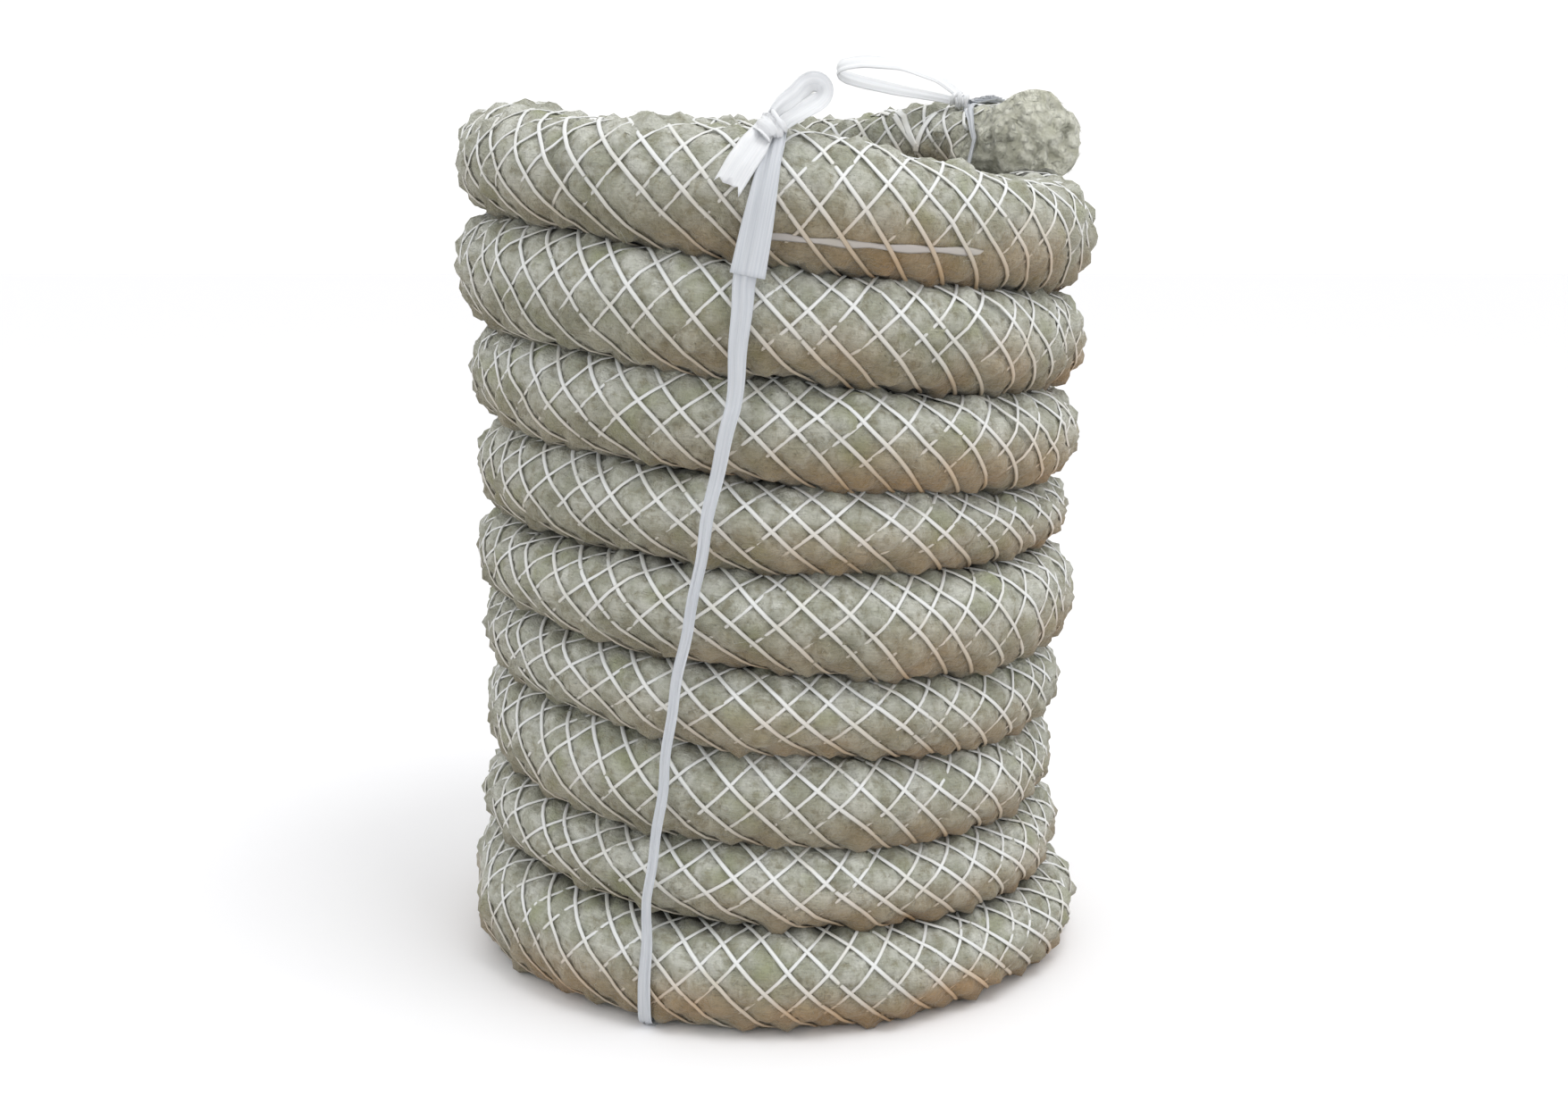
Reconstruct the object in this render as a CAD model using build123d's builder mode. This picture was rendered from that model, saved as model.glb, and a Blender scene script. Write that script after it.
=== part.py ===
from build123d import *
from math import cos, radians, sin, tan
import os

# A wool-filled rope in an open net jacket, wound as a standing coil of nine turns
# and tied with two lengths of flat film tape. Millimetres, +Z up. The coil's axis is Z,
# it rests on z = 0, and its front is towards -Y.

# rope
rope_radius = 19.0            # outside of the jacket, as squeezed in the coil
jacket_thickness = 2.0
core_gap = 0.5                # room for the tracer yarn between core and jacket
bare_end_angle = 14.0         # degrees of the top end that stand bare of the jacket
fray = (6.0, 4.0)             # how the cut top end is rounded off: along the rope, across it

# coil
coil_radius = 114.0           # axis of the coil to the middle of the rope
turns = 9
rest_flat = 0.5               # how far the bottom turn is pressed flat on the floor
left_pitch = 42.0             # climb of each turn at the coil's left (-X) side
right_pitch = 38.3            # climb of each turn at its right (+X) side
first_lift = 2.5              # extra height of the right side, over the bottom end
bottom_end_angle = 26.0       # how far the bottom end runs on past the right side
top_end_angle = 16.0          # where the top end starts, past the right side

# tape of both ties
tape_width = 9.0
tape_thickness = 0.5
tape_gap = 1.3                # clear of the rope
tape_groove = 0.9             # depth of the groove under the bottom turn
groove_room = 2.0             # of the groove on each side of the tape
bend_radius = 14.0            # of the tape where it goes over and under the wall

# front tie: azimuth in degrees from +X, lean from upright, and the heights between
# which its band goes round the wall
front_azimuth = -102.7
front_lean = -7.8
front_bottom = 0.0
front_top = 363.0
front_knot = (1.0, -131.0, 366.5)
front_knot_facing = -90.0     # azimuth
front_knot_rise = 60.0        # of its face, above level

# back tie
back_azimuth = 34.0
back_lean = 0.0
back_bottom = 34.5
back_top = 385.5
back_knot = (93.0, 62.5, 390.5)
back_knot_rise = 90.0

# knots, loops and tails
knot_size = (15.0, 11.0, 9.0)
knot_fillet = 3.5
front_loop = (20.0, 15.0, 44.0)       # length, opening, degrees above +X
back_loop = (60.0, 9.0, 168.0)
long_tail = (13.0, 58.0)              # width, length
short_tail = (9.0, 30.0)
back_tail = (9.0, 42.0)
tail_notch = 5.0
front_tails_azimuth = -91.5
front_tails_top = 364.0
long_tail_lean = -5.0
short_tail_lean = -40.0
back_tail_lean = 12.0
back_tail_drop = 2.0                  # from the band's top

rest_height = rope_radius - rest_flat
wall_outside = coil_radius + rope_radius

os.makedirs("parts", exist_ok=True)


def left_height(turn):
    return rest_height + turn * left_pitch


def right_height(turn):
    return rest_height + turn * right_pitch + (first_lift if turn else 0)


def front_half(turn):
    """The half turn from the left side, round the front, to the right side."""
    return Vector(-coil_radius, 0, left_height(turn)), Vector(coil_radius, 0, right_height(turn))


def back_half(turn):
    """The half turn from the right side of the turn above, round the back, to the left side."""
    return Vector(coil_radius, 0, right_height(turn + 1)), Vector(-coil_radius, 0, left_height(turn))


# Each half turn is a flat semicircle, tilted about Y. It leaves both sides along Y,
# so that the halves join smoothly.
half_turns = [(back_half(turns - 1), top_end_angle, 180)]
for turn in range(turns - 1, -1, -1):
    half_turns.append((front_half(turn), 0, 180))
    if turn:
        half_turns.append((back_half(turn - 1), 0, 180))
flat_right = Vector(coil_radius, 0, rest_height)
half_turns.append(((flat_right, Vector(-coil_radius, 0, rest_height)), 0, bottom_end_angle))


def half_turn_axis(ends):
    """The axis that a half turn goes round, through the middle of its ends."""
    start, finish = ends
    outward = (start - finish).normalized()
    travel = Vector(0, 1 if start.X > 0 else -1, 0)
    return Axis((start + finish) / 2, outward.cross(travel))


def section_plane(ends, angle):
    """The rope's cross-section plane at an angle along a half turn, x pointing outwards."""
    start, finish = ends
    axis = half_turn_axis(ends)
    outward = (start - axis.position).rotate(Axis((0, 0, 0), axis.direction), angle)
    return Plane(axis.position + outward, x_dir=outward, z_dir=axis.direction.cross(outward))


def tie_plane(azimuth):
    """The upright plane through the coil's axis that faces the azimuth."""
    return Plane((0, 0, 0), x_dir=(-sin(radians(azimuth)), cos(radians(azimuth)), 0),
                 z_dir=(cos(radians(azimuth)), sin(radians(azimuth)), 0))


def wound(ends, first, last):
    """Carry the open sketch round a half turn, from one angle to the other."""
    revolve(axis=half_turn_axis(ends), revolution_arc=last - first)


# the wool filling, a little longer than its jacket at the top end
core_radius = rope_radius - jacket_thickness - core_gap
with BuildPart() as wool_core:
    for ends, first, last in half_turns:
        with BuildSketch(section_plane(ends, first)):
            Circle(core_radius)
        wound(ends, first, last)
    # the cut end is rounded off where it frays
    cut_face = wool_core.faces().filter_by(GeomType.PLANE).sort_by(Axis.Z)[-1]
    chamfer(cut_face.edges(), length=fray[0], length2=fray[1])

# the net jacket, as one sleeve
with BuildPart() as net_jacket:
    for index, (ends, first, last) in enumerate(half_turns):
        begin = first + bare_end_angle if index == 0 else first
        with BuildSketch(section_plane(ends, begin)):
            Circle(rope_radius)
            Circle(rope_radius - jacket_thickness, mode=Mode.SUBTRACT)
        wound(ends, begin, last)
    # pressed flat on the floor
    split(bisect_by=Plane.XY, keep=Keep.TOP)
    # a groove for the front tape under the bottom turn
    groove_offset = (front_top + front_bottom) / 2 * tan(radians(front_lean))
    with BuildSketch(tie_plane(front_azimuth)):
        with Locations((groove_offset, 0)):
            Rectangle(tape_width + 2 * groove_room, 2 * tape_groove)
    extrude(amount=2 * wall_outside, mode=Mode.SUBTRACT)

# a flat yarn that lies along the top turn, between the wool and the net
tracer_start = 88.0           # degrees along the top turn's front half
tracer_length = 40.0          # degrees
tracer_width = 3.5
tracer_thickness = 0.3
tracer_gap = 0.1              # clear of the core
tracer_side = 60.0            # degrees down from the rope's outer side
top_front = front_half(turns - 1)
with BuildPart() as tracer_yarn:
    with BuildSketch(section_plane(top_front, tracer_start)):
        Circle(core_radius + tracer_gap + tracer_thickness)
        Circle(core_radius + tracer_gap, mode=Mode.SUBTRACT)
        with Locations(Location((0, 0), tracer_side)):
            Rectangle(rope_radius, tracer_width, align=(Align.MIN, Align.CENTER),
                      mode=Mode.INTERSECT)
    wound(top_front, 0, tracer_length)


# the tape of each tie: a strip of a thin shell round the coil's wall
def tie_band(azimuth, lean, bottom, top):
    height = top - bottom
    with BuildPart() as band:
        with BuildSketch(Plane.XZ):
            with Locations((coil_radius, (top + bottom) / 2)):
                RectangleRounded(2 * (rope_radius + tape_gap + tape_thickness), height, bend_radius)
                RectangleRounded(2 * (rope_radius + tape_gap), height - 2 * tape_thickness,
                                 bend_radius - tape_thickness, mode=Mode.SUBTRACT)
        revolve(axis=Axis.Z)
        with BuildSketch(tie_plane(azimuth)):
            with Locations(Location((0, (top + bottom) / 2), lean)):
                Rectangle(tape_width, 2 * height)
        extrude(amount=2 * wall_outside, mode=Mode.INTERSECT)
    return band


def tie_knot(centre, azimuth, rise):
    """The drawn-up knot: a rounded block whose flat underside faces the rope."""
    plane = Plane(centre, x_dir=(-sin(radians(azimuth)), cos(radians(azimuth)), 0),
                  z_dir=(cos(radians(azimuth)) * cos(radians(rise)),
                         sin(radians(azimuth)) * cos(radians(rise)), sin(radians(rise))))
    with BuildPart(plane) as knot:
        Box(*knot_size)
        fillet(knot.edges(), radius=knot_fillet)
    return knot


def tie_loop(centre, size):
    """A bow's loop, seen along the tape's width: two legs that part towards a round end."""
    length, opening, rise = size
    with BuildPart() as loop:
        with BuildSketch(Plane(centre, x_dir=(cos(radians(rise)), 0, sin(radians(rise))),
                               z_dir=(0, -1, 0))):
            Circle(2 * tape_thickness)
            with Locations((length, 0)):
                Circle(opening / 2)
            make_hull()
            offset(amount=-tape_thickness, mode=Mode.SUBTRACT)
        extrude(amount=tape_width / 2, both=True)
    return loop


def tie_tail(azimuth, lean, start, size, layer, notch=0.0):
    """A tail that hangs down the wall from a point (along the wall, height), a layer
    of tape further out than the band for each tail under it."""
    width, length = size
    distance = wall_outside + tape_gap + tape_thickness + layer * (tape_thickness + tape_gap)
    with BuildPart() as tail:
        with BuildSketch(tie_plane(azimuth).offset(distance)):
            with Locations(Location(start, lean)):
                Rectangle(width, length, align=(Align.CENTER, Align.MAX))
                if notch:
                    with Locations((0, -length)):
                        Triangle(a=width, b=notch + width / 2, c=notch + width / 2,
                                 align=(Align.CENTER, Align.MIN), mode=Mode.SUBTRACT)
        extrude(amount=tape_thickness)
    return tail


front_tie_band = tie_band(front_azimuth, front_lean, front_bottom, front_top)
front_tie_knot = tie_knot(front_knot, front_knot_facing, front_knot_rise)
front_tie_bow = tie_loop(front_knot, front_loop)
front_tie_long_tail = tie_tail(front_tails_azimuth, long_tail_lean, (1, front_tails_top), long_tail, 1)
front_tie_short_tail = tie_tail(front_tails_azimuth, short_tail_lean, (0, front_tails_top), short_tail, 2,
                                tail_notch)
back_tie_band = tie_band(back_azimuth, back_lean, back_bottom, back_top)
back_tie_knot = tie_knot(back_knot, back_azimuth, back_knot_rise)
back_tie_bow = tie_loop(back_knot, back_loop)
back_tie_tail = tie_tail(back_azimuth, back_tail_lean, (0, back_top - back_tail_drop), back_tail, 1)

for name, piece in (
    ("wool_core", wool_core),
    ("net_jacket", net_jacket),
    ("tracer_yarn", tracer_yarn),
    ("front_tie_band", front_tie_band),
    ("front_tie_knot", front_tie_knot),
    ("front_tie_bow", front_tie_bow),
    ("front_tie_long_tail", front_tie_long_tail),
    ("front_tie_short_tail", front_tie_short_tail),
    ("back_tie_band", back_tie_band),
    ("back_tie_knot", back_tie_knot),
    ("back_tie_bow", back_tie_bow),
    ("back_tie_tail", back_tie_tail),
):
    piece.part.label = name
    export_step(piece.part, f"parts/{name}.step")
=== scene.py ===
import bpy
import numpy as np
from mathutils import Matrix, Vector
from mathutils.geometry import convex_hull_2d


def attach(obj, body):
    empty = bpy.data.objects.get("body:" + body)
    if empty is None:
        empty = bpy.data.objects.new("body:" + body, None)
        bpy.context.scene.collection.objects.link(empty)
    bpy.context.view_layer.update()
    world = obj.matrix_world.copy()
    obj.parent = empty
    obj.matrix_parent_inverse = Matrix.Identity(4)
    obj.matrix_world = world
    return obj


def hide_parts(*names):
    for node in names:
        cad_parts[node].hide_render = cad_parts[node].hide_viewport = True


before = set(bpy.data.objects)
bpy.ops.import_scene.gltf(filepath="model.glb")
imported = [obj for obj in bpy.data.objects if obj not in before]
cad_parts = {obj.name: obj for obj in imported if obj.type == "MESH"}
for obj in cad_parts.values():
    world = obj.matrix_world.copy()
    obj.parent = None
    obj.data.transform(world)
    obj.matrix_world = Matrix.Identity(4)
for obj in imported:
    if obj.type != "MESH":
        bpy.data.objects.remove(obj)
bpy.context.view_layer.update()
mm = 0.001
body = "root"  # of the frame, that every piece rides on


viewpoint = {
    "place": (0.0046, -0.884, 0.346),
    "downward": 11.03,   # degrees below level
    "lens": 45.23, "sensor": 36.0,
    "clip": (0.02, 20.0),
}


def makeCamera(v):
    data = bpy.data.cameras.new("camera")
    data.lens = v["lens"]
    data.sensor_width = v["sensor"]
    data.clip_start, data.clip_end = v["clip"]
    camera = bpy.data.objects.new("camera", data)
    camera.location = v["place"]
    camera.rotation_euler = (np.radians(90.0 - v["downward"]), 0.0, 0.0)
    bpy.context.scene.collection.objects.link(camera)
    bpy.context.scene.camera = camera


makeCamera(viewpoint)
bpy.context.scene.view_settings.view_transform = "Standard"
print("camera placed")


# The rope is wound downwards from its top end. Sizes are in millimetres. The tables of underside
# and outside have a value for each half turn: the coil's right side, its left side and so on.
rope = {
    "start": 16.0,       # degrees from +X where the top end is cut
    "finish": 3264.0,    # degrees wound when the bottom end is reached
    # heights where a turn lies on the one below
    "underside": [343, 330, 294, 283, 253, 241, 214, 200, 184, 165,
                  138, 131, 104, 87, 69, 55, 34, 0, 0, 0],
    "frontSag": (0.5, 4.0), "sagOver": 3000.0,  # how much lower the front is, at the top and at the bottom
    "topAngles": [0, 45, 90, 135, 180, 230, 270, 300, 330, 360],
    "topHeights": [376, 375, 369, 369, 373, 366, 362, 350, 343, 343],
    "outside": [149, 137.8, 139.2, 139.0, 137.3, 133.6, 136.1, 131.0, 132.2, 133.5,
                134.5, 131.8, 129.0, 132.1, 128.4, 132.9, 131.1, 139.5, 140.0, 132.0],
    "halfWidth": 24.0,   # across, where the rope is 50 mm high
    "spread": 0.45,      # how much wider for each millimetre that it is squeezed lower
    "plainHeight": 25.0,  # half the height at which halfWidth holds
    "endSlim": 4.5, "slimOver": 60.0,  # how much narrower at the free top end, over these degrees
    "squareness": 2.4,   # 2 is an ellipse, more is boxier
    "diameter": 0.052,   # metres, over all lumps
    "easing": 0.7,       # how far the tables are blended in waves, not straight lines
    "pointsPerTurn": 24, "splineOrder": 3, "splineSteps": 8,
    "splineCut": 1.008,  # the spline runs a little inside its points
    "ringStep": 3.05,    # along the rope
    "columns": 48,
    "meanRadius": 22.0,  # for the UV map
    "capDepth": 9.0, "capPower": 2.6, "capRings": 9, "capStart": 0.06,
    "floorGap": 0.25, "floorRise": 0.1,
    "bareEnd": 29.0,     # of wool past the net, at the top end
}

surface = {
    "netPitch": 118.0,      # of each yarn's helix along the rope
    "yarnsEachWay": 8,
    "yarnSeeds": {"down": 21, "up": 31},
    "wander": 0.17,         # of a yarn from its even place, in yarn spacings
    "wanderSizes": (55.0, 21.0), "wanderFine": 0.4,
    "bulge": 3.4,           # wool between the yarns
    "bulgeOutside": 0.75,   # how much of it is within the widths of the tables
    "crossBulge": 0.8,      # how much of it the under yarns also hold down
    "cellPower": 1.5, "crossPower": 1.1,
    "cellUneven": 0.35,
    "bareFade": 14.0, "bareFadePower": 1.5,  # where the net lets go of the wool
    "bareSwell": 1.5,
    # size along the rope, height, columns around it, seed
    "lumps": [(38.0, 1.5, 4, 11), (15.0, 1.25, 10, 12), (7.0, 0.7, 21, 13)],
    "endLumps": [(16.0, 3.0, 9, 14), (6.0, 2.2, 25, 15)],
    # single lumps and dents: angle wound, degrees round the section, height, size along the rope
    "single": [(14.0, 100.0, 6.5, 9.0), (24.0, 118.0, -2.5, 7.0), (18.0, 200.0, 2.0, 9.0),
               (229.0, 96.0, -5.5, 9.0), (247.0, 80.0, 2.5, 12.0), (670.0, 20.0, -4.0, 5.0),
               (1039.0, 12.0, -3.5, 5.0), (231.0, 8.0, -4.0, 6.0)],
    "singleAround": 28.0,   # degrees that each takes up round the section
    "probe": (1.0, 0.004),  # along in mm and round in turns, for the slope of the surface
}

tracer = {
    "angles": (268.0, 308.0), "turns": (-0.085, -0.066),  # along the top turn, under the net
    "width": 3.7, "widthWave": (0.2, 23.0), "thickness": 0.5, "lift": 0.7,
    "pressPast": 4.0, "pressWidth": 0.026,  # how far round it the wool is pressed flat
    "fade": (3.0, 0.25),    # how fast it sinks in at its far end, and what is left of its lift
    "points": 60,
}


def easedTable(angle, angles, values):
    # value at an angle: the table's neighbours blended by half a cosine wave and a straight line
    angles = np.asarray(angles, float)
    values = np.asarray(values, float)
    k = np.clip(np.searchsorted(angles, angle, side="right") - 1, 0, len(angles) - 2)
    part = np.clip((angle - angles[k]) / (angles[k + 1] - angles[k]), 0.0, 1.0)
    wave = (1.0 - np.cos(np.pi * part)) / 2.0
    eased = rope["easing"] * wave + (1.0 - rope["easing"]) * part
    return values[k] + (values[k + 1] - values[k]) * eased


def underside(angle):
    height = easedTable(angle, 180.0 * np.arange(len(rope["underside"])), rope["underside"])
    first, last = rope["frontSag"]
    sag = (first + (last - first) * angle / rope["sagOver"]) * np.clip(-np.sin(np.radians(angle)), 0.0, 1.0)
    return np.maximum(height - sag, 0.0)


def topside(angle):
    # a turn's top is the underside of the turn above, one turn earlier on the rope
    first = easedTable(angle, rope["topAngles"], rope["topHeights"])
    return np.where(angle < 360.0, first, underside(np.maximum(angle - 360.0, 0.0)))


def halfHeight(angle):
    return (topside(angle) - underside(angle)) / 2.0


def halfWidth(angle):
    slim = rope["endSlim"] * np.clip(1.0 - (angle - rope["start"]) / rope["slimOver"], 0.0, 1.0)
    return rope["halfWidth"] + rope["spread"] * (rope["plainHeight"] - halfHeight(angle)) - slim


def middleRadius(angle):
    outside = easedTable(angle, 180.0 * np.arange(len(rope["outside"])), rope["outside"])
    return outside - halfWidth(angle) - surface["bulgeOutside"] * surface["bulge"]


def splineLine(points, name):
    # a NURBS line through the control points, read back as a polyline
    curve = bpy.data.curves.new(name, "CURVE")
    curve.dimensions = "3D"
    spline = curve.splines.new("NURBS")
    spline.points.add(len(points) - 1)
    for point, place in zip(spline.points, points):
        point.co = (*place, 1.0)
    spline.order_u = rope["splineOrder"]
    spline.use_endpoint_u = True
    spline.resolution_u = rope["splineSteps"]
    holder = bpy.data.objects.new(name, curve)
    bpy.context.scene.collection.objects.link(holder)
    mesh = bpy.data.meshes.new_from_object(holder)
    line = np.zeros(len(mesh.vertices) * 3)
    mesh.vertices.foreach_get("co", line)
    bpy.data.objects.remove(holder)
    bpy.data.meshes.remove(mesh)
    return line.reshape(-1, 3)


def ropeRoute():
    # the coil's control points, turn by turn, by the tables above
    count = int((rope["finish"] - rope["start"]) / 360.0 * rope["pointsPerTurn"])
    angle = np.linspace(rope["start"], rope["finish"], count)
    radius = middleRadius(angle) * rope["splineCut"]
    height = (topside(angle) + underside(angle)) / 2.0
    around = np.radians(angle)
    return np.column_stack([radius * np.cos(around), radius * np.sin(around), height]) * mm


routeLine = splineLine(ropeRoute(), "ropeRoute")
routeSteps = np.linalg.norm(np.diff(routeLine, axis=0), axis=1)
routeDistance = np.concatenate([[0.0], np.cumsum(routeSteps)]) / mm
ropeLength = routeDistance[-1]
routeAngle = np.degrees(np.unwrap(np.arctan2(routeLine[:, 1], routeLine[:, 0])))
routeAngle += rope["start"] - routeAngle[0]
print("rope", round(ropeLength), "mm long")


def ropeFrame(s):
    # centre, angle wound and the two end directions at a distance s along the rope
    inside = np.clip(s, 0.0, ropeLength)
    centre = np.stack([np.interp(inside, routeDistance, routeLine[:, k] / mm)
                       for k in range(3)], axis=-1)
    angle = np.interp(inside, routeDistance, routeAngle)
    around = np.radians(angle)
    past = s - inside  # beyond an end the rope runs straight on
    travel = np.stack([-np.sin(around), np.cos(around), np.zeros_like(around)], axis=-1)
    return centre + travel * past[..., None], angle


noiseTable = {"finest": 4.0, "spare": 40, "before": 10.0}  # rows for the rope and past its ends


def softNoise(along, around, columns, seed):
    # random values at whole numbers, blended by a smoothstep; around repeats
    rows = int(np.ceil(ropeLength / noiseTable["finest"])) + noiseTable["spare"]
    table = np.random.default_rng(seed).uniform(-1.0, 1.0, (rows, columns))
    along = np.clip(along + noiseTable["before"], 0.0, rows - 2.001)
    i = np.floor(along).astype(int)
    j = np.floor(around).astype(int)
    f = along - i
    g = around - j
    f = f * f * (3.0 - 2.0 * f)
    g = g * g * (3.0 - 2.0 * g)
    a, b = j % columns, (j + 1) % columns
    near = table[i, a] * (1.0 - g) + table[i, b] * g
    far = table[i + 1, a] * (1.0 - g) + table[i + 1, b] * g
    return near * (1.0 - f) + far * f


def lumps(s, turn, layers):
    # the sum of layers of noise, each of its own size, height, columns and seed
    total = np.zeros_like(s)
    for size, height, columns, seed in layers:
        total += height * softNoise(s / size, turn * columns, columns, seed)
    return total


def yarnPlace(s, index, seed):
    # where the yarn of a whole number lies, in yarn spacings: its even place and some noise
    count = surface["yarnsEachWay"]
    slow, quick = surface["wanderSizes"]
    noise = softNoise(s / slow, index, count, seed)
    noise = noise + surface["wanderFine"] * softNoise(s / quick, index, count, seed + 1)
    return index + surface["wander"] * noise


def amongYarns(s, place, seed):
    # whole on each yarn, and straight-line fractions between two neighbours
    index = np.floor(place)
    index = index - (place < yarnPlace(s, index, seed)) + (place >= yarnPlace(s, index + 1.0, seed))
    low = yarnPlace(s, index, seed)
    return index + (place - low) / (yarnPlace(s, index + 1.0, seed) - low)


def netPlaces(s, turn):
    # a point's place among the yarns of each hand
    count = surface["yarnsEachWay"]
    down = count * (turn + s / surface["netPitch"])
    up = count * (turn - s / surface["netPitch"])
    seeds = surface["yarnSeeds"]
    return amongYarns(s, down, seeds["down"]), amongYarns(s, up, seeds["up"])


def bareShare(s):
    # 1 on the bare end, 0 where the net holds the wool
    held = np.clip((s - rope["bareEnd"]) / surface["bareFade"] + 0.5, 0.0, 1.0)
    return 1.0 - held ** surface["bareFadePower"]


def overTracer(s, turn):
    # 1 where the tracer yarn presses the wool flat
    ends = np.interp(tracer["angles"], routeAngle, routeDistance)
    middle = np.interp(s, ends, tracer["turns"])
    past = tracer["pressPast"]
    inside = np.clip((s - ends[0]) / past + 1.0, 0.0, 1.0) * np.clip((ends[1] - s) / past + 1.0, 0.0, 1.0)
    return inside * np.exp(-((turn - middle) / tracer["pressWidth"]) ** 2)


def swelling(s, turn, withNet=True):
    # how far the wool stands out from the plain section
    bare = bareShare(s)
    out = lumps(s, turn, surface["lumps"]) + bare * lumps(s, turn, surface["endLumps"])
    for angle, place, depth, size in surface["single"]:
        distance = np.interp(angle, routeAngle, routeDistance)
        far = ((s - distance) / size) ** 2 + ((turn * 360.0 - place) / surface["singleAround"]) ** 2
        out += depth * np.exp(-far)
    if withNet:
        down, up = netPlaces(s, turn)
        cell = np.abs(np.sin(np.pi * down)) ** surface["cellPower"]
        across = np.abs(np.sin(np.pi * up)) ** surface["crossPower"]
        across = 1.0 - surface["crossBulge"] * (1.0 - across)
        # a different size for each cell of the net
        own = 1.0 + surface["cellUneven"] * np.sin(12.9 * np.floor(down) + 78.2 * np.floor(up))
        out += surface["bulge"] * (cell * across * own) * (1.0 - bare) * (1.0 - overTracer(s, turn))
    return out + surface["bareSwell"] * bare


# the plain section, a superellipse, with its points evenly spaced round it from the inner side
sectionAngle = np.linspace(-np.pi, np.pi, 2001)
sectionX, sectionY = (np.sign(w) * np.abs(w) ** (2.0 / rope["squareness"])
                      for w in (np.cos(sectionAngle), np.sin(sectionAngle)))
sectionShare = np.concatenate([[0.0], np.cumsum(np.hypot(np.diff(sectionX), np.diff(sectionY)))])
sectionShare /= sectionShare[-1]


def sectionPoint(s, turn, out):
    # a point of the section, turn of a circle from the outer side upwards, moved out by out
    centre, angle = ropeFrame(s)
    wide, high = halfWidth(angle), halfHeight(angle)
    # past an end the section shrinks along a superellipse
    past = np.clip(np.maximum(-s, s - ropeLength) / rope["capDepth"], 0.0, 1.0)
    shrink = (1.0 - past ** rope["capPower"]) ** (1.0 / rope["capPower"])
    share = (turn + 0.5) % 1.0
    x = np.interp(share, sectionShare, sectionX)
    y = np.interp(share, sectionShare, sectionY)
    power = rope["squareness"] - 1.0
    nx = np.sign(x) * np.abs(x) ** power / wide
    ny = np.sign(y) * np.abs(y) ** power / high
    size = np.hypot(nx, ny)
    x = (x * wide + out * nx / size) * shrink
    y = (y * high + out * ny / size) * shrink
    around = np.radians(angle)
    place = centre + x[..., None] * np.stack([np.cos(around), np.sin(around), 0 * around], axis=-1)
    floor = rope["floorGap"] + rope["floorRise"] * np.clip(y + high, -1.5, 3.0)
    place[..., 2] = np.maximum(place[..., 2] + y, floor)
    return place


def unit(vectors):
    # the same directions, each of length 1
    return vectors / np.maximum(np.linalg.norm(vectors, axis=-1, keepdims=True), 1e-9)


def surfaceNormal(s, turn, out):
    # square to both directions of the surface
    along, across = surface["probe"]
    ahead = sectionPoint(s + along, turn, out) - sectionPoint(s - along, turn, out)
    sideways = sectionPoint(s, turn + across, out) - sectionPoint(s, turn - across, out)
    return unit(np.cross(sideways, ahead))


# where a turn's lower side is, and the orange-tan tint painted there as bounce light
lowSideAndBounce = {
    "lowMiddle": 0.42, "lowSlope": 0.9, "lowPower": 1.5,  # how high up a turn it reaches
    "everywhere": 0.22,
    "rightSide": 0.68, "rightTurn": 25.0, "rightPower": 0.7,
    "lastTurn": 0.8, "lastTurnFrom": 2900.0, "lastTurnOver": 120.0,
    "patchMean": 0.75, "patches": [(30.0, 0.6, 5, 41), (9.0, 0.3, 16, 42)],  # as the lumps
}


def lowSide(turn):
    # 1 on a turn's underside, 0 on its top
    return np.clip(lowSideAndBounce["lowMiddle"] - lowSideAndBounce["lowSlope"] * np.sin(2.0 * np.pi * turn), 0.0, 1.0)


def paintedBounce(s, turn):
    # painted bounce light: an orange-tan tint on the lower side of the turns, most on the right and on the
    # last turn
    _, angle = ropeFrame(s)
    right = np.clip(np.cos(np.radians(angle + lowSideAndBounce["rightTurn"])), 0.0, 1.0) ** lowSideAndBounce["rightPower"]
    last = np.clip((angle - lowSideAndBounce["lastTurnFrom"]) / lowSideAndBounce["lastTurnOver"], 0.0, 1.0)
    strength = lowSideAndBounce["everywhere"] + lowSideAndBounce["rightSide"] * right + lowSideAndBounce["lastTurn"] * last
    patch = lowSideAndBounce["patchMean"] + lumps(s, turn, lowSideAndBounce["patches"])
    return np.clip(lowSide(turn) ** lowSideAndBounce["lowPower"] * strength * patch, 0.0, 1.0)


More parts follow.
